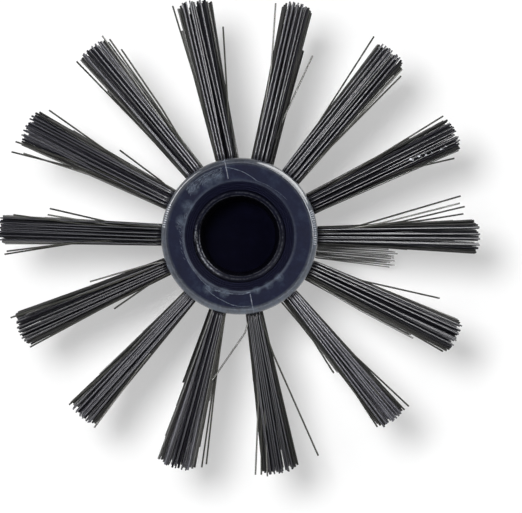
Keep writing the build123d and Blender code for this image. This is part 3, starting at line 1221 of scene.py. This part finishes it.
# light shades partly painted highlight, dark shades partly painted shade between bristles
light_shades = (0.72, 1.0)
middle_shades = (0.38, 0.66)
dark_shades = (0.05, 0.32)
# a bar this far out gets paler: dust together with painted light
pale_edge_from = 0.6
pale_edge_to = 0.94


def tint(bm, laid, shade, edge):
    """Writes on each vertex of a laid bar what the nylon reads, and gives dark bars the dull nylon."""
    shade_layer, edge_layer = bm.verts.layers.float["shade"], bm.verts.layers.float["edge"]
    for vert in laid:
        vert[shade_layer] = shade
        vert[edge_layer] = edge
        if shade < dull_below:
            for face in vert.link_faces:
                face.material_index = 1


def pick_shade(column, row):
    """A light, middle or dark shade for one bar."""
    kind = dice.random()
    light_share = light_shares[column] * (1 if row else top_light_share)
    if kind < light_share:
        shade = dice.uniform(*light_shades)
    elif kind < light_share + middle_share:
        shade = dice.uniform(*middle_shades)
    else:
        shade = dice.uniform(*dark_shades)
    return shade * column_tones[column]


print("largest share of light bars:", max(light_shares), "smallest:", min(light_shares))

# %% [markdown]
# In a tuft the legs are first put in order from side to side, with a little disorder, and each tip gets
# its place across the fan by that order, so that bristles hardly cross. The tips at the sides of the fan
# and of the hole are a little short, and here and there one has broken off. The spreads and lengths are
# in millimetres.

# %% Bristles of one tuft
order_spread = 0.07
tip_spreads = (0.12, 0.25)
bow_spreads = (0.09, 0.12)
short_spread = 0.16
side_short = 0.7
hole_short = 0.3
broken_share = 0.03
broken_lengths = (2, 7)


def grow_tuft(bm, column, row):
    """The folded bristles of one tuft."""
    legs = [(side, across, up) for across, up in leg_places for side in (1, -1)]
    legs.sort(key=lambda leg: leg[0] * leg[1] + dice.gauss(0, order_spread))
    tip_places = {leg: 2 * (rank + 0.5) / len(legs) - 1 for rank, leg in enumerate(legs)}
    for across, up in leg_places:
        paths = []
        for side in (1, -1):
            filled = tip_places[side, across, up]
            noise = [dice.gauss(0, spread) * MM for spread in tip_spreads]
            bow = [dice.gauss(0, spread) * MM for spread in bow_spreads]
            short = (abs(dice.gauss(0, short_spread)) + side_short * filled ** 4 + hole_short * abs(up)) * MM
            if dice.random() < broken_share:
                short += dice.uniform(*broken_lengths) * MM
            paths.append(leg_points(column, row, side * across, up, filled, noise, bow, short))
        path = paths[0][::-1] + fold_points(column, row, across, up) + paths[1]
        edge_paleness = (across - pale_edge_from) / (pale_edge_to - pale_edge_from)
        laid = lay_bar(bm, folded_bar, path, bristle_radius, bristle_radius)
        tint(bm, laid, pick_shade(column, row), min(1, max(0, edge_paleness)))


print("bristles in all tufts:", len(leg_places) * row_count * column_count)

# %% [markdown]
# Now every column grows as one piece: its seven tufts, the bristles on the back of the top one, and the
# loose ones. It takes the place of the CAD column, whose strands are much thicker.

# %% Grow the tufts of every column
bristle_crease = 80
# painted light: the swung bundle gets light shades and a paler edge, to stay pale in the tuft's shadow
swung_shades = (0.5, 1.0)
swung_pale_edge = 0.6
stray_shades = (0.1, 0.5)
for column in range(column_count):
    bm = bmesh.new()
    for layer_name in ("shade", "edge"):
        bm.verts.layers.float.new(layer_name)
    for row in range(row_count):
        grow_tuft(bm, column, row)
    for across in back_places[column]:
        laid = lay_bar(bm, back_bar, back_points(column, across), back_radius, back_radius)
        tint(bm, laid, back_shades[column], 0.0)
    for loose_column, row, *stops in loose_bristles:
        if loose_column == column:
            laid = lay_bar(bm, loose_bar, loose_points(column, row, *stops), loose_radius, loose_radius)
            if row == swung_row:
                tint(bm, laid, dice.uniform(*swung_shades), swung_pale_edge)
            else:
                tint(bm, laid, dice.uniform(*stray_shades), 1.0)
    number = f"{column + 1:02d}"
    grown = finish_piece(
        f"bristle_column_{number}", bm, polished_nylon, [f"tuft_column_{number}"],
        crease=bristle_crease)
    grown.data.materials.append(dull_nylon)
print("columns of bristles:", column_count)

# %% [markdown]
# A few flecks of white lint have caught on top of the second column. Each is a small flattened ball,
# given by its radius from the axis in millimetres, its degrees round the axis and its own size. A ray
# sent straight down finds the bristle that it lies on.

# %% Lint on the second column
fleck_shape = (1.2, 0.9, 0.6, 1)
lint_flecks = (
    (46.4, 26.3, 0.34), (47.0, 25.9, 0.26), (48.6, 26.1, 0.3), (49.9, 25.8, 0.2), (50.5, 25.6, 0.26),
    (52.0, 25.6, 0.16), (54.4, 25.4, 0.2), (55.4, 25.2, 0.28), (55.8, 25.6, 0.16))
lint, lint_tree, lint_shader = new_material("white_lint")
lint_fluff = add_noise(lint_tree, object_coords(lint_tree), scale=5000.0, detail=3.0)
lint_colour = add_ramp(lint_tree, lint_fluff, [(0.35, (150, 152, 160)), (0.65, (226, 228, 234))])
lint_tree.links.new(lint_colour, lint_shader.inputs["Base Color"])
lint_shader.inputs["Roughness"].default_value = 0.9
lint_bm = bmesh.new()
linty_column = bpy.data.objects["bristle_column_02"]
bpy.context.view_layer.update()
for radius, degrees, reach in lint_flecks:
    found, place, *_ = linty_column.ray_cast(around(radius * MM, degrees, block_height), -UP)
    if found:
        bmesh.ops.create_icosphere(
            lint_bm, subdivisions=2, radius=reach * MM,
            matrix=Matrix.Translation(place) @ Matrix.Diagonal(fleck_shape))
print("lint faces:", len(lint_bm.faces))
finish_piece("lint_flecks", lint_bm, lint)

# %% [markdown]
# ## Staples
#
# The staples are flat steel wire, deep in their holes. Their CAD shape is right, so they stay, and only
# get the finish of drawn wire: a noise stretched along the wire, as lines from the die.

# %% Drawn steel wire
steel, steel_tree, steel_shader = new_material("drawn_steel_wire")
draw_lines = add_node(steel_tree, "ShaderNodeMapping", {
    "Vector": object_coords(steel_tree), "Scale": (6000, 6000, 300)})
draw_noise = add_noise(steel_tree, draw_lines.outputs[0], scale=1.0, detail=2.0)
steel_colour = add_ramp(steel_tree, draw_noise, [(0.35, (120, 120, 118)), (0.65, (176, 176, 172))])
steel_tree.links.new(steel_colour, steel_shader.inputs["Base Color"])
steel_shader.inputs["Metallic"].default_value = 1.0
steel_shader.inputs["Roughness"].default_value = 0.35
for column in range(column_count):
    staple_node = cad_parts[f"staple_column_{column + 1:02d}"]
    staple_node.data.materials.clear()
    staple_node.data.materials.append(steel)
print("staple columns in steel:", column_count)
